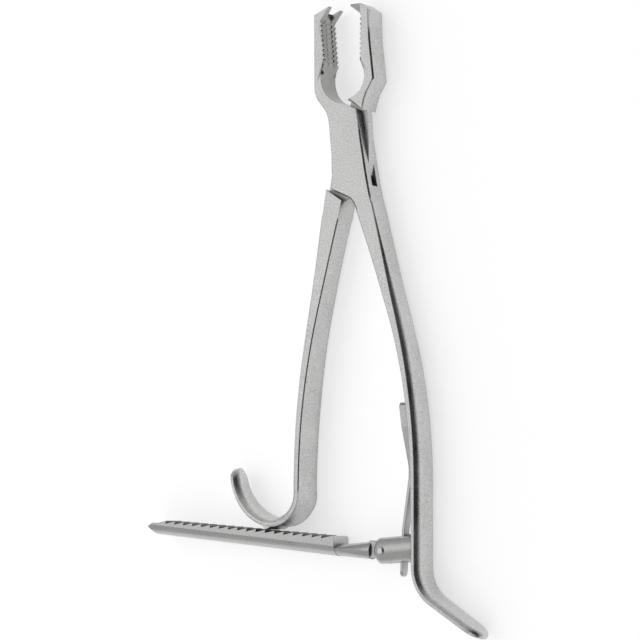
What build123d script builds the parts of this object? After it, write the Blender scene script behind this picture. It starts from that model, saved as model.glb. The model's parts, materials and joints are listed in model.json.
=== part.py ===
from build123d import *

import os
from math import cos, exp, radians, sin, sqrt

# Bone holding forceps lying flat: jaws towards +Y, handles towards -Y, the box pin along Z.
# Everything is drawn about the box pin, at the middle of the thickness, and moved at the end so that
# the origin is under the middle of the whole instrument, on the surface that it rests on.
# The jaws stand as far open as the photograph shows them.

# Box joint
box_thickness = 14.5
tongue_thickness = 5.2
slide_clearance = 0.08
pin_radius = 3.0
pin_clearance = 0.05
edge_bevel = 0.85

# Travel from the shown pose until the jaws close, in degrees
closing_travel = 9.5

# Jaws
throat_height = 49.8
face_length = 23.8
jaw_opening = 21.7
left_face_lean = 4.6
right_face_lean = 0.7
row_pitch = 2.65
row_width = 2.1
row_depth = 0.9
groove_width = 1.5
groove_depth = 0.9
groove_offset = 2.8
prong_rise = 6.1
prong_overhang = 4.9
jaw_back = 5.1
notch_mouth = 9.2
notch_floor = 5.8
tooth_rise = 7.3
tooth_overhang = 9.6
tooth_root_height = 5.6
tooth_tip_width = 2.0
tooth_tip_height = 1.0
tooth_side_margin = 0.35
tooth_sink = 0.3

# Handles: straight necks, long bows, upright grips, then the hook on the left and the tail on the right
handle_length = 206.8
neck_thickness = 10.4
grip_thickness = 4.4
thickness_fade = 60.0
grip_depth = 18.8
grip_crown = 2.7
grip_crown_depth = 3.8
crown_growth = 160.0
right_neck_angle = 17.5
right_bow_radius = 300.0
grip_rise = 34.5
grip_run = 43.2
tail_bend_radius = 20.0
tail_angle = 57.0
tail_run = 31.8
tail_tip_depth = 17.0
tail_tip_round = 7.0
left_neck_angle = 12.2
left_bow_radius = 464.0
bend_rise = 29.7
bend_radius = 15.2
bend_angle = 105.0
hook_arm_radius = 29.0
hook_arm_angle = 62.5
hook_tip_run = 6.8
hook_tip_depth = 13.0
hook_tip_round = 5.5

# Ratchet bar
bar_angle = 4.37
bar_depth = 14.7
bar_length = 148.0
bar_side_height = 5.2
crest_height = 5.25
tooth_pitch = 5.87
tooth_depth = 1.7
tooth_lean = 0.35
first_crest = 30.0
back_round = 1.6
belly_depth = 10.5
belly_depth_tip = 7.9
bar_tip_slope = 3.5
neck_side_margin = 0.6
neck_inset = 0.2
neck_height = 5.8
neck_end_radius = 4.7
neck_end_drop = 0.6
neck_end = 8.6
eye_thickness = 5.8
heel_radius = 9.0
heel_height = 9.0

# Pawl under the bend of the hook
pawl_gap = 0.25
pawl_distance = 69.72
pawl_lead = 12.8
pawl_lead_rise = 6.0
pawl_back = 2.9
pawl_back_rise = 2.8
bend_corner_radius = 12.1
bend_corner_stand = 0.8

# Clevis, its pin and the leaf spring
clevis_reach = 21.1
clevis_radius = 7.4
clevis_tilt = 4.5
clevis_lead = 4.9
clevis_round = 3.0
slot_clearance = 0.3
slot_depth = 13.4
stud_radius = 2.5
bar_pin_radius = 1.9
bar_pin_clearance = 0.05
bar_pin_stand = 0.9
leaf_thickness = 1.4
leaf_pad_height = 5.0
leaf_pad_length = 12.4
leaf_pad_width = 12.4
leaf_end_width = 5.4
leaf_tail = 13.3
heel_clearance = 0.25
rivet_rise = 36.0
rivet_radius = 1.6
rivet_head_radius = 2.8
rivet_head_height = 0.9
rivet_head_bevel = 0.5

half_box = box_thickness / 2
half_grip = grip_depth / 2
through = 60.0
tip_steps = (0.6, 0.25, 0.0)
tip_sections = len(tip_steps)


def mix(low, high, share):
    """A value between two others, easing in and out."""
    share = min(1.0, max(0.0, share))
    return low + (high - low) * share * share * (3 - 2 * share)


def turned(point, degrees):
    """A point turned about the box pin."""
    return Vector(*point).rotate(Axis.Z, degrees)


def heading(degrees):
    """Unit vector in the plan, counted from +X towards +Y."""
    return Vector(cos(radians(degrees)), sin(radians(degrees)))


def serration(low, top, away):
    """Section of a row of V cuts across a gripping face; away points out of the metal."""
    run = Vector(*top) - Vector(*low)
    along = run.normalized()
    count = int((run.length - row_width) // row_pitch) + 1
    first = (run.length - (count - 1) * row_pitch) / 2
    slope = Vector(away) * row_depth
    with BuildSketch(Plane.XY.offset(-half_box)) as cuts:
        for row in range(count):
            middle = Vector(*low) + along * (first + row * row_pitch)
            with BuildLine():
                Polyline(
                    middle - slope,
                    middle + slope - along * row_width,
                    middle + slope + along * row_width,
                    close=True,
                )
            make_face()
    return cuts.sketch


def groove(low, top, away, offset):
    """Section of a V groove that runs along a gripping face; away points out of the metal."""
    run = Vector(*top) - Vector(*low)
    start = Vector(low.X, low.Y, offset) - run.normalized() * row_pitch / 2
    with BuildSketch(Plane(start, x_dir=away, z_dir=run)) as section:
        with BuildLine():
            Polyline(
                (-groove_depth, 0),
                (groove_depth, groove_width),
                (groove_depth, -groove_width),
                close=True,
            )
        make_face()
    return section.sketch


def handle_section(plane, thickness, half_depth, crown, crown_depth):
    """Section across a handle: flat inner face, flat lands front and back, crowned outer side."""
    outer = thickness / 2
    pull = 0.45
    with BuildSketch(plane) as section:
        with BuildLine():
            Polyline(
                (outer - crown, half_depth),
                (-outer, half_depth),
                (-outer, -half_depth),
                (outer - crown, -half_depth),
            )
            Bezier(
                (outer - crown, -half_depth),
                (outer - crown * pull, -half_depth),
                (outer, -half_depth + crown_depth * pull),
                (outer, -half_depth + crown_depth),
            )
            Line((outer, -half_depth + crown_depth), (outer, half_depth - crown_depth))
            Bezier(
                (outer, half_depth - crown_depth),
                (outer, half_depth - crown_depth * pull),
                (outer - crown * pull, half_depth),
                (outer - crown, half_depth),
            )
        make_face()
    return section.sketch


def handle_sections(path, side, tip_depth, tip_round, turn_step=18.0, run_step=22.0):
    """Sections along a handle's middle line, from the box to the tip; side is where its crown lies."""
    length = path.length
    stops = [0.0]
    passed = 0.0
    for edge in path.edges():
        turn = (edge % 0).get_angle(edge % 1)
        parts = max(1, round(turn / turn_step), round(edge.length / run_step))
        stops += [passed + edge.length * part / parts for part in range(1, parts + 1)]
        passed += edge.length
    stops = [stop for stop in stops if stop < length - tip_round * 1.3]
    stops += [length - tip_round * left for left in (1.0, *tip_steps)]
    sections = []
    for stop in stops:
        share = stop / length
        tangent = path % share
        across = Vector(-tangent.Y, tangent.X) * side
        thickness = grip_thickness + (neck_thickness - grip_thickness) * exp(-stop / thickness_fade)
        depth = mix(half_box, half_grip, (stop - 10) / 110)
        depth = mix(depth, tip_depth / 2, (stop - length + 45) / 45)
        growth = min(1.0, stop / crown_growth)
        crown = edge_bevel + (grip_crown - edge_bevel) * growth
        crown_depth = edge_bevel + (grip_crown_depth - edge_bevel) * growth
        into_tip = max(0.0, (stop - length + tip_round) / tip_round)
        narrowing = 0.2 + 0.8 * sqrt(1 - into_tip**2)
        thinning = 1 - 0.35 * into_tip**3
        plane = Plane(path @ share, x_dir=across, z_dir=tangent)
        sections.append(
            handle_section(plane, thickness * thinning, depth * narrowing, crown * thinning,
                           min(crown_depth * thinning, depth * narrowing * 0.9))
        )
    return sections


def front_and_back(sides):
    """Edges of side faces that lie on the box's front or back."""
    edges = sides.edges()
    return edges.filter_by_position(Axis.Z, half_box, half_box) + edges.filter_by_position(
        Axis.Z, -half_box, -half_box
    )


def neck_corners(path, side):
    """Inner and outer corner of a handle's first section."""
    tangent = path % 0
    across = Vector(-tangent.Y, tangent.X) * side * neck_thickness / 2
    return path @ 0 - across, path @ 0 + across


# Middle lines of the two handles, from the box to the tips
right_start = Vector(8.95, -28.55)
right_neck_drop = handle_length - grip_rise - right_bow_radius * sin(radians(right_neck_angle))
with BuildLine() as right_line:
    right_neck = PolarLine(
        right_start,
        (right_neck_drop + right_start.Y) / cos(radians(right_neck_angle)),
        right_neck_angle - 90,
    )
    right_bow = JernArc(right_neck @ 1, right_neck % 1, right_bow_radius, -right_neck_angle)
    right_grip = Line(right_bow @ 1, right_bow @ 1 - Vector(0, grip_run))
    tail_bend = JernArc(right_grip @ 1, right_grip % 1, tail_bend_radius, tail_angle)
    Line(tail_bend @ 1, tail_bend @ 1 + (tail_bend % 1) * tail_run)
right_path = right_line.wires()[0]
bar_pivot = right_grip @ 0 - Vector(clevis_reach, grip_rise)

left_start = Vector(-12.0, -33.0)
left_neck_drop = handle_length - bend_rise - left_bow_radius * sin(radians(left_neck_angle))
with BuildLine() as left_line:
    left_neck = PolarLine(
        left_start,
        (left_neck_drop + left_start.Y) / cos(radians(left_neck_angle)),
        -90 - left_neck_angle,
    )
    left_bow = JernArc(left_neck @ 1, left_neck % 1, left_bow_radius, left_neck_angle)
    hook_bend = JernArc(left_bow @ 1, left_bow % 1, bend_radius, -bend_angle)
    hook_arm = JernArc(hook_bend @ 1, hook_bend % 1, hook_arm_radius, -hook_arm_angle)
    Line(hook_arm @ 1, hook_arm @ 1 + (hook_arm % 1) * hook_tip_run)
left_path = left_line.wires()[0]

# Corners of the tongue, which the slot in the box follows
tongue_top_left = Vector(-0.9, 28.6)
tongue_left_mid = Vector(-9.6, 6.0)
tongue_top_right = Vector(8.1, 22.8)
tongue_right_mid = Vector(9.2, 6.0)
tongue_right_low = Vector(9.0, -11.3)
shoulder_outer = Vector(-14.6, -17.8)
shoulder_inner = Vector(-4.7, -24.4)

# Gripping faces, from the throat to the tips
right_face_low = Vector(6.5, throat_height)
right_face_top = right_face_low + heading(90 - right_face_lean) * face_length
left_face_low = right_face_low - Vector(jaw_opening, 0)
left_face_top = left_face_low + heading(90 + left_face_lean) * face_length
prong_tip = left_face_top + Vector(prong_overhang, prong_rise)
tooth_tip = right_face_top + Vector(-tooth_overhang, tooth_rise)
tooth_top = right_face_top + Vector(0.1, tooth_root_height)

# One forging: left jaw, the box with its slot, and the right handle
right_inner, right_outer = neck_corners(right_path, 1)
right_sections = handle_sections(right_path, 1, tail_tip_depth, tail_tip_round)
with BuildPart() as right_blank:
    loft(right_sections[:-tip_sections])
    loft(right_sections[-tip_sections - 1:])

# Seats of the clevis and of the leaf spring's rivet on the right handle
clevis_along = heading(clevis_tilt)
clevis_plane = Plane(bar_pivot, z_dir=clevis_along)
rivet_share = 1 - rivet_rise / right_bow.length
rivet_down = right_bow % rivet_share
rivet_along = Vector(-rivet_down.Y, rivet_down.X)
rivet_seat = right_bow @ rivet_share - rivet_along * (grip_thickness / 2 + leaf_pad_height + 0.5)
rivet_plane = Plane(rivet_seat, z_dir=rivet_along)


def plug(plane, radius):
    """What fills a round hole through the right handle, flush on both sides."""
    with BuildPart() as filling:
        add(right_blank.part)
        with BuildSketch(plane):
            Circle(radius)
        extrude(amount=through, mode=Mode.INTERSECT)
    return filling.part


left_jaw_back = left_face_top + Vector(-jaw_back, 2.1)
left_jaw_shoulder = left_face_low + Vector(-6.8, -12.3)
with BuildPart() as left_jaw:
    with BuildSketch(Plane.XY.offset(-half_box)):
        with BuildLine():
            Polyline(prong_tip, left_jaw_back, left_jaw_shoulder)
            Spline(
                left_jaw_shoulder,
                (-14.7, 23.3),
                (-12.4, 10.6),
                (-11.3, -4.0),
                tangents=(left_jaw_shoulder - left_jaw_back, (0, -1)),
            )
            Polyline((-11.3, -4.0), (-11.1, -18.4), (-1.0, -23.0))
            Spline((-1.0, -23.0), (2.0, -25.7), right_inner, tangents=((10, -4.6), right_path % 0))
            Line(right_inner, right_outer)
            Spline(right_outer, (8.9, -3.1), (4.6, 23.2), tangents=(right_path % 0 * -1, (-0.15, 1)))
            Line((4.6, 23.2), (-2.4, 26.3))
            Spline(
                (-2.4, 26.3),
                (-9.8, 29.0),
                (-15.4, 34.4),
                (-17.3, 41.5),
                left_face_low,
                tangents=((-2, 0.6), (0.5, 1)),
            )
            Polyline(left_face_low, left_face_top, prong_tip)
        make_face()
    extrude(amount=box_thickness)
    sides = left_jaw.faces().filter_by(lambda side: side.normal_at().X < -0.85)
    sides += left_jaw.faces().filter_by(lambda side: side.normal_at().X > 0.85 and side.center().X > 0)
    chamfer(front_and_back(sides), edge_bevel)

with BuildPart() as female_half:
    add(right_blank.part)
    add(left_jaw.part)
    # Gap between the two prongs, down to the gripping face
    with BuildSketch(Plane.YZ.offset(left_face_top.X)):
        with BuildLine():
            Polyline(
                (left_face_top.Y - 0.6, -notch_floor / 2),
                (left_face_top.Y - 0.6, notch_floor / 2),
                (prong_tip.Y + 1.2, notch_mouth / 2),
                (prong_tip.Y + 1.2, -notch_mouth / 2),
                close=True,
            )
        make_face()
    extrude(amount=2 * prong_overhang, mode=Mode.SUBTRACT)
    extrude(serration(left_face_low, left_face_top, (1, 0)), amount=box_thickness, mode=Mode.SUBTRACT)
    for offset in (-groove_offset, groove_offset):
        cut = groove(left_face_low, left_face_top, (1, 0, 0), offset)
        extrude(cut, amount=face_length + row_pitch / 2, mode=Mode.SUBTRACT)
    # Slot that the tongue swings in
    wall_top = turned(tongue_top_left, closing_travel) + Vector(-0.6, 0.2)
    wall_end = turned(tongue_left_mid, closing_travel) + Vector(-0.45, 0.9)
    wall_mid = (wall_top + wall_end) / 2 + Vector(-0.7, 0.2)
    with BuildSketch():
        with BuildLine():
            ThreePointArc(wall_top, wall_mid, wall_end)
            Polyline(
                wall_end,
                (-30.0, wall_end.Y),
                (-30.0, -26.4),
                (1.2, -26.4),
                (12.6, -16.0),
                (30.0, -16.0),
                (30.0, 45.0),
                (wall_top.X, 45.0),
                wall_top,
            )
        make_face()
    extrude(amount=tongue_thickness / 2 + slide_clearance, both=True, mode=Mode.SUBTRACT)
    with BuildSketch():
        Circle(pin_radius)
    extrude(amount=half_box, both=True, mode=Mode.SUBTRACT)
    for plane, radius in ((clevis_plane, stud_radius), (rivet_plane, rivet_radius)):
        with BuildSketch(plane):
            Circle(radius)
        extrude(amount=through, mode=Mode.SUBTRACT)

# Frame of the ratchet bar: x runs along the bar to its tip, y to the teeth
bar_along = heading(180 - bar_angle)
bar_up = heading(90 - bar_angle)
bar_plane = Plane(bar_pivot, x_dir=bar_along, z_dir=(0, 0, -1))
pawl_tip = bar_pivot + bar_along * pawl_distance + bar_up * (crest_height + pawl_gap)

# The other forging: right jaw, the tongue, the left handle with its finger hook and the pawl
left_inner, left_outer = neck_corners(left_path, -1)
left_sections = handle_sections(left_path, -1, hook_tip_depth, hook_tip_round)
right_jaw_shoulder = right_face_low + Vector(8.5, -11.2)
with BuildPart() as right_jaw:
    with BuildSketch(Plane.XY.offset(-half_box)):
        with BuildLine():
            Spline(
                tongue_top_left,
                (5.6, 31.9),
                (9.1, 38.6),
                right_face_low,
                tangents=((2, 1), (-0.4, 1)),
            )
            Polyline(
                right_face_low,
                right_face_top,
                tooth_top,
                tooth_top + Vector(5.3, -3.8),
                right_face_low + Vector(6.1, 10.2),
                right_jaw_shoulder,
            )
            Spline(right_jaw_shoulder, (10.9, 31.6), tongue_top_right, tangents=((-0.4, -1), (-0.25, -1)))
            Line(tongue_top_right, tongue_top_left)
        make_face()
    extrude(amount=box_thickness)
    sides = right_jaw.faces().filter_by(lambda side: side.normal_at().X > 0.85)
    chamfer(front_and_back(sides), edge_bevel)

with BuildPart() as left_neck_block:
    with BuildSketch(Plane.XY.offset(-half_box)):
        with BuildLine():
            Polyline(shoulder_outer, shoulder_inner, left_inner, left_outer, close=True)
        make_face()
    extrude(amount=box_thickness)
    sides = left_neck_block.faces().filter_by(lambda side: side.normal_at().X < -0.85)
    chamfer(front_and_back(sides), edge_bevel)

with BuildPart() as male_half:
    loft(left_sections[:-tip_sections])
    loft(left_sections[-tip_sections - 1:])
    add(right_jaw.part)
    add(left_neck_block.part)
    with BuildSketch():
        with BuildLine():
            ThreePointArc(tongue_top_left, tongue_left_mid, shoulder_outer)
            Polyline(shoulder_outer, left_outer, left_inner, shoulder_inner, tongue_right_low)
            ThreePointArc(tongue_right_low, tongue_right_mid, tongue_top_right)
            Polyline(tongue_top_right, tongue_top_right + Vector(0, 7.2), tongue_top_left)
        make_face()
    extrude(amount=tongue_thickness / 2, both=True)
    extrude(serration(right_face_low, right_face_top, (-1, 0)), amount=box_thickness, mode=Mode.SUBTRACT)
    for offset in (-groove_offset, groove_offset):
        cut = groove(right_face_low, right_face_top, (-1, 0, 0), offset)
        extrude(cut, amount=face_length + row_pitch / 2, mode=Mode.SUBTRACT)
    # The single tooth, tapering from the width of the jaw to its tip
    with BuildSketch(Plane.YZ.offset(right_face_top.X + tooth_sink)):
        with Locations(((right_face_top.Y + tooth_top.Y) / 2, 0)):
            Rectangle(tooth_top.Y - right_face_top.Y, box_thickness - 2 * tooth_side_margin)
    with BuildSketch(Plane.YZ.offset(tooth_tip.X)):
        with Locations((tooth_tip.Y - tooth_tip_height / 2, 0)):
            Rectangle(tooth_tip_height, tooth_tip_width)
    loft(ruled=True)
    # The pawl, one block with the bend of the hook
    with BuildSketch():
        with BuildLine():
            pawl_face = Line(pawl_tip, pawl_tip + Vector(pawl_lead, pawl_lead_rise))
            corner_top = hook_bend @ 0 + Vector(grip_thickness / 2 + bend_corner_stand, 0)
            RadiusArc(pawl_face @ 1, corner_top, -bend_corner_radius)
            Line(corner_top, hook_bend @ 0)
            ThreePointArc(hook_bend @ 0, hook_bend @ 0.5, hook_bend @ 1)
            Polyline(hook_bend @ 1, pawl_tip + Vector(-pawl_back, pawl_back_rise), pawl_tip)
        make_face()
    extrude(amount=half_grip, both=True)
    with BuildSketch():
        Circle(pin_radius + pin_clearance)
    extrude(amount=half_box, both=True, mode=Mode.SUBTRACT)

# Pin through the box and the tongue, ground flush on both faces
with BuildPart() as box_pin:
    with BuildSketch():
        Circle(pin_radius)
    extrude(amount=half_box, both=True)

# Toothed bar: flat sides, round belly, a tapered neck and a flat eye for its pin
low_side = crest_height - belly_depth
tooth_count = int((bar_length - bar_tip_slope - first_crest) // tooth_pitch)
tooth_end = first_crest + (tooth_count - 1) * tooth_pitch


def neck_section(along, half_width, bottom, side, top):
    """Section across the bar's neck: a lower and an upper arc that meet at the sides."""
    with BuildSketch(Plane(bar_pivot + bar_along * along, x_dir=(0, 0, 1), z_dir=bar_along)) as section:
        with BuildLine():
            ThreePointArc((-half_width, side), (0, bottom), (half_width, side))
            ThreePointArc((half_width, side), (0, top), (-half_width, side))
        make_face()
    return section.sketch


with BuildPart() as ratchet_bar:
    with BuildSketch(bar_plane):
        with BuildLine():
            back = (first_crest - back_round, crest_height - back_round)
            ThreePointArc(
                back,
                (first_crest - back_round * cos(radians(45)), crest_height - back_round * (1 - sin(radians(45)))),
                (first_crest, crest_height),
            )
            saw = [(first_crest, crest_height)]
            for tooth in range(tooth_count - 1):
                crest = first_crest + tooth * tooth_pitch
                saw.append((crest + tooth_pitch + tooth_lean, crest_height - tooth_depth))
                saw.append((crest + tooth_pitch, crest_height))
            Polyline(
                *saw,
                (tooth_end + tooth_pitch, crest_height - tooth_depth),
                (bar_length - bar_tip_slope, crest_height - tooth_depth),
                (bar_length, crest_height - belly_depth_tip / 2),
                (bar_length - bar_tip_slope, crest_height - belly_depth_tip),
                (first_crest - back_round, low_side),
                back,
            )
        make_face()
    extrude(amount=bar_depth / 2, both=True)
    belly_start = bar_pivot + bar_along * (first_crest - back_round) + bar_up * low_side
    belly_end = bar_pivot + bar_along * bar_length + bar_up * (crest_height - belly_depth_tip)
    with BuildSketch(Plane(belly_start, x_dir=(0, 0, 1), z_dir=belly_end - belly_start)):
        with BuildLine():
            Polyline(
                (-bar_depth / 2, bar_side_height),
                (-bar_depth / 2, belly_depth + 1),
                (bar_depth / 2, belly_depth + 1),
                (bar_depth / 2, bar_side_height),
            )
            ThreePointArc((bar_depth / 2, bar_side_height), (0, 0), (-bar_depth / 2, bar_side_height))
        make_face()
    extrude(amount=bar_length, both=True, mode=Mode.INTERSECT)
    # Tapered neck, running out of the belly of the toothed part, and the eye on the pin
    belly_radius = ((bar_depth / 2) ** 2 + bar_side_height**2) / (2 * bar_side_height)
    neck_half_width = bar_depth / 2 - neck_side_margin
    neck_low = low_side + neck_inset
    neck_side = neck_low + belly_radius - sqrt(belly_radius**2 - neck_half_width**2)
    neck_sections = [
        neck_section(first_crest, neck_half_width, neck_low, neck_side, low_side + neck_height),
        neck_section(
            neck_end,
            neck_end_radius,
            -neck_end_drop - neck_end_radius,
            -neck_end_drop,
            neck_end_radius - neck_end_drop,
        ),
    ]
    loft(neck_sections)
    with BuildSketch(bar_plane):
        Circle(heel_radius)
        Rectangle(heel_radius * 2, heel_height, mode=Mode.INTERSECT)
        with Locations(((neck_end + 1) / 2, 0)):
            Rectangle(neck_end + 1, heel_height)
    extrude(amount=eye_thickness / 2, both=True)
    with BuildSketch(bar_plane):
        Circle(bar_pin_radius + bar_pin_clearance)
    extrude(amount=eye_thickness, both=True, mode=Mode.SUBTRACT)

# Leaf spring: a pad riveted to the handle, thinning into a strip that presses on the bar's heel
leaf_front = bar_pivot.X + heel_radius + heel_clearance
pad_top = rivet_seat.Y + leaf_pad_length / 2
leaf_low = bar_pivot.Y - leaf_tail
strip_bow = Vector(right_grip.position_at(0).X - 6.3, bar_pivot.Y + 42.0)
with BuildPart() as leaf_spring:
    with BuildSketch():
        with BuildLine():
            front = FilletPolyline(
                rivet_seat + rivet_along * -0.1 - rivet_down * leaf_pad_length / 2,
                rivet_seat + rivet_along * -0.1 + rivet_down * leaf_pad_length / 2,
                strip_bow,
                (leaf_front + 0.9, bar_pivot.Y + 11.0),
                (leaf_front - 0.5, leaf_low),
                radius=30.0,
            )
            back = FilletPolyline(
                (leaf_front - 0.5 + leaf_thickness, leaf_low),
                (leaf_front + 0.9 + leaf_thickness, bar_pivot.Y + 11.0),
                strip_bow + Vector(leaf_thickness * 1.2, 0),
                right_grip @ 0 + Vector(0, 22.0),
                radius=30.0,
            )
            Line(front @ 1, back @ 0)
            Polyline(back @ 1, right_bow @ rivet_share - rivet_down * leaf_pad_length / 2, front @ 0)
        make_face()
    extrude(amount=leaf_pad_width, both=True)
    with BuildSketch(Plane.YZ):
        with BuildLine():
            taper_top = pad_top - leaf_pad_length
            taper_low = taper_top - 26.0
            Polyline(
                (taper_top, leaf_pad_width / 2),
                (pad_top - 1.5, leaf_pad_width / 2),
                (pad_top, leaf_pad_width / 2 - 1.6),
                (pad_top, 1.6 - leaf_pad_width / 2),
                (pad_top - 1.5, -leaf_pad_width / 2),
                (taper_top, -leaf_pad_width / 2),
                (taper_low, -leaf_end_width / 2),
                (leaf_low + leaf_end_width / 2, -leaf_end_width / 2),
            )
            ThreePointArc(
                (leaf_low + leaf_end_width / 2, -leaf_end_width / 2),
                (leaf_low, 0),
                (leaf_low + leaf_end_width / 2, leaf_end_width / 2),
            )
            Polyline(
                (leaf_low + leaf_end_width / 2, leaf_end_width / 2),
                (taper_low, leaf_end_width / 2),
                (taper_top, leaf_pad_width / 2),
            )
        make_face()
    extrude(amount=through, mode=Mode.INTERSECT)
    add(right_blank.part, mode=Mode.SUBTRACT)
    with BuildSketch(rivet_plane.offset(-rivet_head_radius)):
        Circle(rivet_radius)
    extrude(amount=through / 2, mode=Mode.SUBTRACT)

# Rivet that holds the leaf's pad to the handle, its far end flush in the handle
with BuildPart() as spring_rivet:
    with BuildSketch(rivet_plane.offset(-rivet_head_height)):
        Circle(rivet_head_radius)
    extrude(amount=rivet_head_height + 1.5)
    chamfer(spring_rivet.edges().sort_by(Axis.X)[0], rivet_head_bevel)
    add(leaf_spring.part, mode=Mode.SUBTRACT)
    with BuildSketch(rivet_plane):
        Circle(rivet_radius)
    extrude(amount=leaf_pad_height + rivet_radius)
    add(plug(rivet_plane, rivet_radius))

# Clevis on the handle, its shank riveted flush in it; the bar and the leaf run through its slot
with BuildPart() as ratchet_clevis:
    with BuildSketch(Plane(bar_pivot, x_dir=clevis_along, z_dir=(0, 0, 1))):
        with BuildLine():
            nose = [
                (clevis_round * (1 - sin(radians(turn))) - clevis_lead,
                 clevis_radius - clevis_round * (1 - cos(radians(turn))))
                for turn in (0, 30, 60, 90)
            ]
            Polyline((-clevis_lead, 0), *reversed(nose), (through / 3, clevis_radius), (through / 3, 0), close=True)
        make_face()
    revolve(axis=Axis(bar_pivot, clevis_along))
    with BuildSketch(Plane(bar_pivot, x_dir=clevis_along, z_dir=(0, 0, 1))):
        with Locations(((slot_depth - clevis_lead - 1) / 2, 0)):
            Rectangle(slot_depth + clevis_lead + 1, 2 * clevis_radius + 1)
    extrude(amount=eye_thickness / 2 + slot_clearance, both=True, mode=Mode.SUBTRACT)
    with BuildSketch(Plane(bar_pivot)):
        Circle(bar_pin_radius)
    extrude(amount=clevis_radius + 1, both=True, mode=Mode.SUBTRACT)
    add(right_blank.part, mode=Mode.SUBTRACT)
    add(plug(clevis_plane, stud_radius))

# Pin that the bar turns on, held in the clevis, with bevelled ends that stand a little out of it
with BuildPart() as ratchet_pin:
    with BuildSketch(Plane(bar_pivot)):
        Circle(bar_pin_radius)
    extrude(amount=clevis_radius + bar_pin_stand, both=True)
    chamfer(ratchet_pin.edges().filter_by(GeomType.CIRCLE), bar_pin_stand * 0.6)

pieces = {
    "female_half": female_half.part,
    "male_half": male_half.part,
    "box_pin": box_pin.part,
    "ratchet_clevis": ratchet_clevis.part,
    "ratchet_bar": ratchet_bar.part,
    "ratchet_pin": ratchet_pin.part,
    "leaf_spring": leaf_spring.part,
    "spring_rivet": spring_rivet.part,
}
boxes = [piece.bounding_box() for piece in pieces.values()]
low = Vector(min(b.min.X for b in boxes), min(b.min.Y for b in boxes), min(b.min.Z for b in boxes))
high = Vector(max(b.max.X for b in boxes), max(b.max.Y for b in boxes), max(b.max.Z for b in boxes))
place = Location((-(low.X + high.X) / 2, -(low.Y + high.Y) / 2, -low.Z))
os.makedirs("parts", exist_ok=True)
for name, piece in pieces.items():
    placed = piece.moved(place)
    placed.label = name
    export_step(placed, f"parts/{name}.step")
    print(name, len(piece.solids()), round(piece.volume, 1), piece.is_valid)
print("box pin at", place.position, "bar pin at", place.position + bar_pivot)
print("size", high - low)
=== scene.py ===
import json
from math import cos, exp, radians, sin

import bmesh
import bpy
from mathutils import Matrix, Vector


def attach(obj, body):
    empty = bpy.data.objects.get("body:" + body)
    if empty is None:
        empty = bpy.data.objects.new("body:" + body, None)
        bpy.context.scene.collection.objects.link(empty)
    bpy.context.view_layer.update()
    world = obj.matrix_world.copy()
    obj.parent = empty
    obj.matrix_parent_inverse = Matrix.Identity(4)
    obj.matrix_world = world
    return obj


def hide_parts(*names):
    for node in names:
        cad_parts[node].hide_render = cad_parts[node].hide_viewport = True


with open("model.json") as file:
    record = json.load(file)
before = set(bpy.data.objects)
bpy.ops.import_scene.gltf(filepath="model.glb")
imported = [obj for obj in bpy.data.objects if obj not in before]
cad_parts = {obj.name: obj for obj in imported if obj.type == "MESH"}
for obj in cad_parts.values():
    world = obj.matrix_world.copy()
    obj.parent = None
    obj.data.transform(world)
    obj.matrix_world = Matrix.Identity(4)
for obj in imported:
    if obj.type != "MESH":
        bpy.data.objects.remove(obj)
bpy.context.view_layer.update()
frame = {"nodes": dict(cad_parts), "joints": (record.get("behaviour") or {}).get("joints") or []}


joints = {joint["name"]: joint for joint in frame["joints"]}
mm = 0.001
box_pin = Vector(joints["box_joint"]["pos_m"])
bar_pivot = (Vector(joints["rack_pivot"]["pos_m"]) - box_pin).xy / mm
half_box = 7.25

# Camera: turned to the instrument's right and a little towards its handles, as the photograph sees it
image_pixels = 640
focal_pixels = 2400
sensor_mm = 36
camera_distance = 1.256
camera_turn = radians(32)
camera_lift = radians(-5)
box_pin_pixel = (349, 153.5)

# Studio: a white table, even light, and a dark screen with a soft edge to the right
floor_reach = 4
floor_gap = 0.0004
paper_white = (0.86, 0.86, 0.86, 1)
floor_glow = 0.55
screen_direction = (0.93, 0.09, 0.36)
screen_edge = radians(60)
screen_core = radians(30)

# Steel: painted shade in hollows, as colour darkened by occlusion: how far a hollow is felt, in metres, and how
# dark the painted shade in the deepest one gets
grain_share = 0.8
cloud_share = 0.25
tone_low = 0.33
tone_high = 0.72
roughness_swing = 0.06
open_hollow_painted_shade = ((0.006, 0.58),)
cut_hollow_painted_shade = ((0.005, 0.5), (0.0012, 0.2))

# Handles, in millimetres about the box pin, as straight runs and arcs: (length, turn in degrees)
right_handle = {
    "start": (8.95, -28.55),
    "heading": -72.5,
    "moves": [(56.1, 0), (91.6, -17.5), (43.2, 0), (19.9, 57), (31.8, 0)],
    "side": 1,
    "tip_depth": 17.0,
    "tip_round": 9.0,
}
left_handle = {
    "start": (-12.0, -33.0),
    "heading": -102.2,
    "moves": [(47.1, 0), (98.8, 12.2), (27.86, -105), (31.63, -62.5), (6.8, 0)],
    "side": -1,
    "tip_depth": 13.5,
    "tip_round": 6.5,
}
ring_spacing = 2.2
half_grip = 9.4
deepening_start = 10
deepening_run = 110
neck_thickness = 10.4
neck_run = 60
grip_thickness = 4.32
inner_bevel = 0.5
crown_start = 0.85
crown_width = 2.7
crown_reach = 5.4
crown_run = 70
crown_shares = ((1.0, 1.0), (0.99, 0.82), (0.96, 0.68), (0.89, 0.54), (0.54, 0.22), (0.17, 0.087), (0.0, 0.0))
tip_steps = 12
tip_turn = 86
tip_run = 45
tip_flat = 0.12
tip_thinning = 0.35

# Pawl under the hook: places measured from its tip and from the start of the hook's bend
bar_lean = 4.37
pawl_distance = 69.72
pawl_height = 5.5
pawl_lead = (12.8, 6.0)
pawl_root = (0.1, 1.5)
pawl_bulge = (2.3, -1.6)
pawl_heel = (-2.9, 2.8)
pawl_steps = 8
pawl_inset = 0.03
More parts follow.
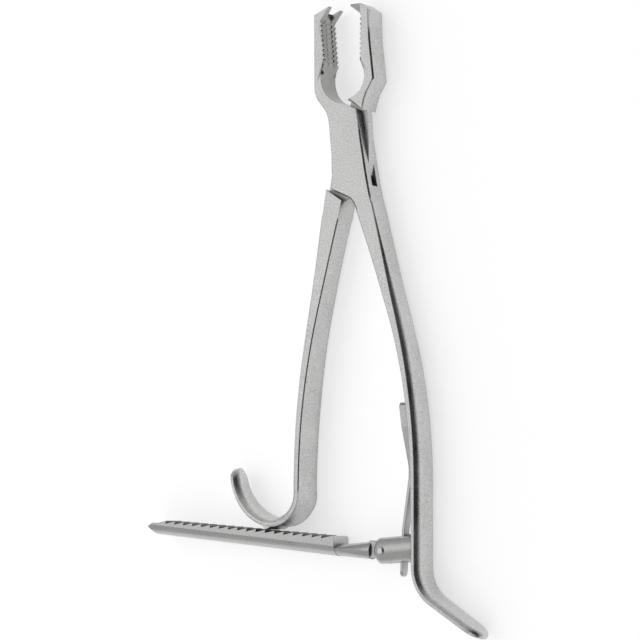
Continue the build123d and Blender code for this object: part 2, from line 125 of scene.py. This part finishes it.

# Faces round the mouth that carry the milled finish and a darker grey that is painted shade between the jaws
mouth_foot = 25
mouth_middle = -4
mouth_reach = 19
mouth_facing = 0.35
mouth_turned_away = -0.15

weld_distance = 1e-7
sharp_angle = radians(24)
pin_head = 3.9
pin_length = 14.53
pin_segments = 64


def at(x, y, z=0.0):
    """Row place of a point given in millimetres about the box pin."""
    return box_pin + Vector((x, y, z)) * mm


def add_object(name, data):
    """An object in the scene that shows the data."""
    new = bpy.data.objects.new(name, data)
    bpy.context.scene.collection.objects.link(new)
    return new


def add_camera():
    """Looks so that the front end of the box pin falls on its pixel in the photograph."""
    back = Vector((sin(camera_turn) * cos(camera_lift), sin(camera_lift), cos(camera_turn) * cos(camera_lift)))
    right = Vector((cos(camera_turn), 0, -sin(camera_turn)))
    up = back.cross(right)
    ray = -back
    ray = ray + right * (box_pin_pixel[0] - image_pixels / 2) / focal_pixels
    ray = ray - up * (box_pin_pixel[1] - image_pixels / 2) / focal_pixels
    data = bpy.data.cameras.new("camera")
    data.sensor_width = sensor_mm
    data.lens = sensor_mm * focal_pixels / image_pixels
    camera = add_object("camera", data)
    turn = Matrix((right, up, back)).transposed().to_4x4()
    camera.matrix_world = Matrix.Translation(at(0, 0, half_box) - ray * camera_distance) @ turn
    bpy.context.scene.camera = camera


def node_shorthand(tree):
    """Empties a node tree and gives a function that adds nodes with their settings."""
    tree.nodes.clear()

    def add(kind, **settings):
        node = tree.nodes.new(kind)
        for key, value in settings.items():
            if key in node.inputs:
                node.inputs[key].default_value = value
            else:
                setattr(node, key, value)
        return node

    return add


def new_material(name):
    """An empty node material and the shorthands that link and add its nodes."""
    material = bpy.data.materials.new(name)
    material.use_nodes = True
    return material, material.node_tree.links.new, node_shorthand(material.node_tree)


def add_range(add, low, high, to_low, to_high):
    """A node that carries one range of values over to another."""
    node = add("ShaderNodeMapRange")
    node.inputs["From Min"].default_value = low
    node.inputs["From Max"].default_value = high
    node.inputs["To Min"].default_value = to_low
    node.inputs["To Max"].default_value = to_high
    return node


def steel(name, colour, roughness, stipple, blotch, edge_radius=0.00045, hollow_painted_shade=open_hollow_painted_shade):
    """Satin surgical steel: a fine bead-blasted stipple, faint cloudiness, softly rounded edges and painted
    shade that darkens its colour in hollows and between parts.
    """
    material, link, add = new_material(name)
    place = add("ShaderNodeTexCoord")
    grain = add("ShaderNodeTexNoise", Scale=1500.0, Detail=2.0, Roughness=0.6)
    cloud = add("ShaderNodeTexNoise", Scale=55.0, Detail=4.0, Roughness=0.55)
    link(place.outputs["Object"], grain.inputs["Vector"])
    link(place.outputs["Object"], cloud.inputs["Vector"])
    faint = add("ShaderNodeMath", operation="MULTIPLY")
    link(cloud.outputs["Fac"], faint.inputs[0])
    faint.inputs[1].default_value = cloud_share
    tone = add("ShaderNodeMath", operation="MULTIPLY_ADD")
    link(grain.outputs["Fac"], tone.inputs[0])
    tone.inputs[1].default_value = grain_share
    link(faint.outputs[0], tone.inputs[2])
    ramp = add("ShaderNodeValToRGB")
    ramp.color_ramp.elements[0].position = tone_low
    ramp.color_ramp.elements[1].position = tone_high
    ramp.color_ramp.elements[0].color = [c * (1 - blotch * 2) for c in colour] + [1]
    ramp.color_ramp.elements[1].color = [min(1, c * (1 + blotch * 2)) for c in colour] + [1]
    link(tone.outputs[0], ramp.inputs["Fac"])
    shade = ramp.outputs["Color"]
    # Painted shade: ambient occlusion darkens the colour in hollows, creases and gaps between parts
    for reach, darkest_painted_shade in hollow_painted_shade:
        occlusion_shade = add("ShaderNodeAmbientOcclusion", samples=6, Distance=reach)
        depth = add_range(add, 0.3, 0.9, darkest_painted_shade, 1.0)
        link(occlusion_shade.outputs["AO"], depth.inputs["Value"])
        shaded = add("ShaderNodeMix", data_type="RGBA", blend_type="MULTIPLY")
        shaded.inputs["Factor"].default_value = 1.0
        link(shade, shaded.inputs[6])
        link(depth.outputs["Result"], shaded.inputs[7])
        shade = shaded.outputs[2]
    rough = add_range(add, 0.3, 0.7, roughness - roughness_swing, roughness + roughness_swing)
    link(cloud.outputs["Fac"], rough.inputs["Value"])
    edge = add("ShaderNodeBevel", samples=6, Radius=edge_radius)
    bump = add("ShaderNodeBump", Strength=stipple, Distance=0.00012)
    link(edge.outputs["Normal"], bump.inputs["Normal"])
    link(grain.outputs["Fac"], bump.inputs["Height"])
    surface = add("ShaderNodeBsdfPrincipled", Metallic=1.0)
    link(shade, surface.inputs["Base Color"])
    link(rough.outputs["Result"], surface.inputs["Roughness"])
    link(bump.outputs["Normal"], surface.inputs["Normal"])
    output = add("ShaderNodeOutputMaterial")
    link(surface.outputs["BSDF"], output.inputs["Surface"])
    return material


def seen_plainly(link, add):
    """1 for rays from the camera and for those that steel or glass reflects or passes on."""
    path = add("ShaderNodeLightPath")
    total = add("ShaderNodeMath", operation="ADD", use_clamp=True)
    link(path.outputs["Is Camera Ray"], total.inputs[0])
    link(path.outputs["Is Glossy Ray"], total.inputs[1])
    both = add("ShaderNodeMath", operation="ADD", use_clamp=True)
    link(total.outputs[0], both.inputs[0])
    link(path.outputs["Is Transmission Ray"], both.inputs[1])
    return both.outputs[0]


def add_floor():
    """A white table that keeps the instrument's faint shadow."""
    mesh = bpy.data.meshes.new("floor")
    ends = [(-1, -1), (1, -1), (1, 1), (-1, 1)]
    mesh.from_pydata([(x * floor_reach, y * floor_reach, 0) for x, y in ends], [], [(0, 1, 2, 3)])
    floor = add_object("floor", mesh)
    floor.location.z = -floor_gap
    material, link, add = new_material("floor_white")
    paper = add("ShaderNodeBsdfDiffuse", Color=paper_white)
    glow = add("ShaderNodeEmission", Color=(1, 1, 1, 1), Strength=floor_glow)
    both = add("ShaderNodeAddShader")
    choose = add("ShaderNodeMixShader")
    link(paper.outputs[0], both.inputs[0])
    link(glow.outputs[0], both.inputs[1])
    link(seen_plainly(link, add), choose.inputs["Fac"])
    link(paper.outputs[0], choose.inputs[1])
    link(both.outputs[0], choose.inputs[2])
    output = add("ShaderNodeOutputMaterial")
    link(choose.outputs[0], output.inputs["Surface"])
    mesh.materials.append(material)


def add_lamp(name, place, size, power):
    """A soft square lamp at a place, aimed at the middle of the instrument."""
    data = bpy.data.lights.new(name, "AREA")
    data.size = size
    data.energy = power
    lamp = add_object(name, data)
    lamp.location = place
    lamp.rotation_euler = (-Vector(place)).to_track_quat("-Z", "Y").to_euler()


def add_world(level, dark_level):
    """Even light from all round, with a dark screen to the right that draws the edges."""
    world = bpy.data.worlds.new("studio")
    bpy.context.scene.world = world
    world.use_nodes = True
    link = world.node_tree.links.new
    add = node_shorthand(world.node_tree)
    direction = add("ShaderNodeTexCoord")
    facing = add("ShaderNodeVectorMath", operation="DOT_PRODUCT")
    facing.inputs[1].default_value = Vector(screen_direction).normalized()
    shade = add_range(add, cos(screen_edge), cos(screen_core), level, dark_level)
    shade.interpolation_type = "SMOOTHSTEP"
    path = add("ShaderNodeLightPath")
    seen = add("ShaderNodeMix", B=1.0)
    light = add("ShaderNodeBackground")
    output = add("ShaderNodeOutputWorld")
    link(direction.outputs["Generated"], facing.inputs[0])
    link(facing.outputs["Value"], shade.inputs["Value"])
    link(path.outputs["Is Camera Ray"], seen.inputs["Factor"])
    link(shade.outputs["Result"], seen.inputs["A"])
    link(seen.outputs["Result"], light.inputs["Strength"])
    link(light.outputs[0], output.inputs["Surface"])


def dress(node, material):
    """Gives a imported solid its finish."""
    mesh = frame["nodes"][node].data
    mesh.materials.clear()
    mesh.materials.append(material)


def along(handle, distance):
    """Place and heading after a distance on a handle's middle line."""
    place, heading = Vector(handle["start"]), handle["heading"]
    for length, turn in handle["moves"]:
        run = min(distance, length)
        bend = turn * run / length
        half = radians(bend / 2)
        chord = run * (sin(half) / half if abs(half) > 1e-9 else 1)
        middle = radians(heading) + half
        place = place + Vector((cos(middle), sin(middle))) * chord
        heading += bend
        distance -= run
        if distance <= 0:
            break
    return place, heading


def mix(low, high, share):
    """A value between two others, easing in and out."""
    share = min(1.0, max(0.0, share))
    return low + (high - low) * share * share * (3 - 2 * share)


def outline(thickness, half_depth, crown, crown_depth):
    """Section across a handle: flat inner face, flat lands front and back, bevelled and crowned outer side."""
    outer = thickness / 2
    crown_depth = min(crown_depth, half_depth * 0.9)
    bevel = min(inner_bevel, half_depth * 0.5)
    upper = [(outer - crown * (1 - across), half_depth - crown_depth * down) for across, down in crown_shares]
    inner = [(-outer + bevel, half_depth), (-outer, half_depth - bevel)]
    front = upper + inner
    return front + [(a, -b) for a, b in reversed(front)]


def join_rings(shape, first, second):
    """Faces all the way round between two rings of points."""
    for here in range(len(first)):
        following = (here + 1) % len(first)
        shape.faces.new((first[here], first[following], second[following], second[here]))


def handle_stops(handle):
    """Distances along a handle where its section is drawn, each with how far it is into the rounded tip."""
    length = sum(run for run, turn in handle["moves"])
    tip_round = handle["tip_round"]
    steps = round((length - tip_round) / ring_spacing)
    stops = [((length - tip_round) * step / steps, 0.0) for step in range(steps)]
    for step in range(tip_steps + 1):
        into_tip = sin(radians(tip_turn * step / tip_steps))
        stops.append((length - tip_round * (1 - into_tip), into_tip))
    return length, stops


def add_handle(shape, handle):
    """Skin of a handle, from the box to its rounded tip."""
    length, stops = handle_stops(handle)
    rings = []
    for passed, into_tip in stops:
        place, heading = along(handle, passed)
        side = radians(heading + 90 * handle["side"])
        across = Vector((cos(side), sin(side)))
        thickness = grip_thickness + (neck_thickness - grip_thickness) * exp(-passed / neck_run)
        depth = mix(half_box, half_grip, (passed - deepening_start) / deepening_run)
        depth = mix(depth, handle["tip_depth"] / 2, (passed - length + tip_run) / tip_run)
        growth = mix(0.0, 1.0, passed / crown_run)
        thinning = 1 - tip_thinning * into_tip ** 3
        narrowing = tip_flat + (1 - tip_flat) * (1 - into_tip ** 2) ** 0.5
        crown, crown_depth = (crown_start + (full - crown_start) * growth for full in (crown_width, crown_reach))
        ring = []
        for a, b in outline(thickness * thinning, depth * narrowing, crown * thinning, crown_depth * thinning):
            spot = place + across * a
            ring.append(shape.verts.new(at(spot.x, spot.y, b)))
        rings.append(ring)
    for first, second in zip(rings, rings[1:]):
        join_rings(shape, first, second)
    shape.faces.new(rings[-1])


def arc_through(start, middle, end, parts):
    """Points of the arc through three places."""
    start, middle, end = (Vector(point) for point in (start, middle, end))
    ax, ay = middle - start
    bx, by = end - start
    twice = 2 * (ax * by - ay * bx)
    centre_x = by * (ax * ax + ay * ay) - ay * (bx * bx + by * by)
    centre_y = ax * (bx * bx + by * by) - bx * (ax * ax + ay * ay)
    centre = start + Vector((centre_x, centre_y)) / twice
    first = start - centre
    sweep = -first.angle_signed(end - centre)
    return [centre + Matrix.Rotation(sweep * part / parts, 2) @ first for part in range(parts + 1)]


def add_prism(shape, points, half_depth):
    """A flat block of an outline in the plan."""
    back, front = ([shape.verts.new(at(x, y, z)) for x, y in points] for z in (-half_depth, half_depth))
    shape.faces.new(back)
    shape.faces.new(front)
    join_rings(shape, back, front)


def add_pawl(shape):
    """The pawl, one block with the bend of the hook."""
    turn = radians(180 - bar_lean)
    bar_along = Vector((cos(turn), sin(turn)))
    bar_up = Vector((bar_along.y, -bar_along.x))
    tip = bar_pivot + bar_along * pawl_distance + bar_up * pawl_height
    bend_start = sum(run for run, turn in left_handle["moves"][:2])
    bend = left_handle["moves"][2][0]
    inside = [along(left_handle, bend_start + bend * part / pawl_steps)[0] for part in range(pawl_steps + 1)]
    lead = tip + Vector(pawl_lead)
    root = inside[0] + Vector((grip_thickness / 2, 0)) + Vector(pawl_root)
    round_side = arc_through(lead, (lead + root) / 2 + Vector(pawl_bulge), root, pawl_steps)
    add_prism(shape, [tip] + round_side + inside + [tip + Vector(pawl_heel)], half_grip - pawl_inset)


def cut_copy(node, handle):
    """A copy of a forging's mesh without its handle, cut off square where the handle starts."""
    shape = bmesh.new()
    shape.from_mesh(frame["nodes"][node].data)
    bmesh.ops.remove_doubles(shape, verts=shape.verts, dist=weld_distance)
    place, heading = along(handle, 0.0)
    away = Vector((cos(radians(heading)), sin(radians(heading)), 0))
    everything = shape.verts[:] + shape.edges[:] + shape.faces[:]
    bmesh.ops.bisect_plane(shape, geom=everything, plane_co=at(*place), plane_no=away, clear_outer=True)
    return shape


def add_piece(name, shape, materials, body, node):
    """Shows a finished shape as a piece that rides on a body and stands for a node."""
    mesh = bpy.data.meshes.new(name)
    shape.to_mesh(mesh)
    shape.free()
    for material in materials:
        mesh.materials.append(material)
    piece = add_object(name, mesh)
    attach(piece, body)
    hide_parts(node)
    return piece


def finish_and_shade_mouth(mesh, side):
    """Puts the second material, milled finish with a darker grey as painted shade between the jaws, on the faces
    that look into the mouth.
    """
    for face in mesh.polygons:
        spot = (face.center - box_pin) / mm
        facing = face.normal.x * side
        upright = facing > mouth_turned_away and abs(face.normal.z) < mouth_facing
        in_mouth = spot.y > mouth_foot and abs(spot.x - mouth_middle) < mouth_reach
        if in_mouth and (facing > mouth_facing or upright):
            face.material_index = 1


def forging(name, node, body, handle, extra=None):
    """A forging with its handle redrawn smoothly."""
    shape = cut_copy(node, handle)
    add_handle(shape, handle)
    if extra:
        extra(shape)
    bmesh.ops.recalc_face_normals(shape, faces=shape.faces)
    for face in shape.faces:
        face.smooth = True
    piece = add_piece(name, shape, [satin, bite_with_painted_shade], body, node)
    piece.data.set_sharp_from_angle(angle=sharp_angle)
    finish_and_shade_mouth(piece.data, handle["side"])
    even = piece.modifiers.new("even_shading", "WEIGHTED_NORMAL")
    even.keep_sharp = True
    even.weight = 100


def add_flush_pin():
    """The box pin, its ends spread and ground flush with the box, so that no ring shows."""
    shape = bmesh.new()
    bmesh.ops.create_cone(
        shape,
        cap_ends=True,
        segments=pin_segments,
        radius1=pin_head * mm,
        radius2=pin_head * mm,
        depth=pin_length * mm,
        matrix=Matrix.Translation(at(0, 0)),
    )
    add_piece("flush_pin", shape, [flush], "female", "box_pin")


forged_grey = (0.575, 0.575, 0.57)
# Bite grey: the milled mouth faces, painted darker as shade between the jaws
bite_grey_painted_shade = (0.38, 0.38, 0.375)
milled_grey = (0.50, 0.50, 0.495)
spring_grey = (0.48, 0.48, 0.48)
ground_grey = (0.62, 0.62, 0.615)
satin = steel("satin_forging", forged_grey, roughness=0.30, stipple=0.6, blotch=0.16)
# Mouth material: real milled finish in roughness and edges, painted shade in its darker colour
bite_with_painted_shade = steel("milled_bite_painted_shade", bite_grey_painted_shade, 0.25, 0.5, 0.12, edge_radius=0.0001, hollow_painted_shade=cut_hollow_painted_shade)
flush = steel("flush_pin", forged_grey, roughness=0.30, stipple=0.6, blotch=0.13, edge_radius=0.0)
milled = steel("milled_bar", milled_grey, 0.30, 0.5, 0.12, edge_radius=0.0003, hollow_painted_shade=cut_hollow_painted_shade)
spring = steel("spring_strip", spring_grey, roughness=0.28, stipple=0.25, blotch=0.08)
ground = steel("ground_pin", ground_grey, roughness=0.26, stipple=0.2, blotch=0.06)
forging("box_jaw_and_tail_handle", "female_half", "female", right_handle)
forging("tongue_jaw_and_hook_handle", "male_half", "male", left_handle, add_pawl)
add_flush_pin()
dress("ratchet_clevis", milled)
dress("ratchet_bar", milled)
dress("ratchet_pin", ground)
dress("leaf_spring", spring)
dress("spring_rivet", ground)

add_camera()
add_floor()
add_world(level=0.70, dark_level=0.03)
add_lamp("key", place=(-0.9, 0.25, 1.35), size=1.3, power=2.6)
add_lamp("fill", place=(0.2, -1.0, 1.1), size=0.8, power=0.8)
bpy.context.scene.view_settings.view_transform = "Standard"
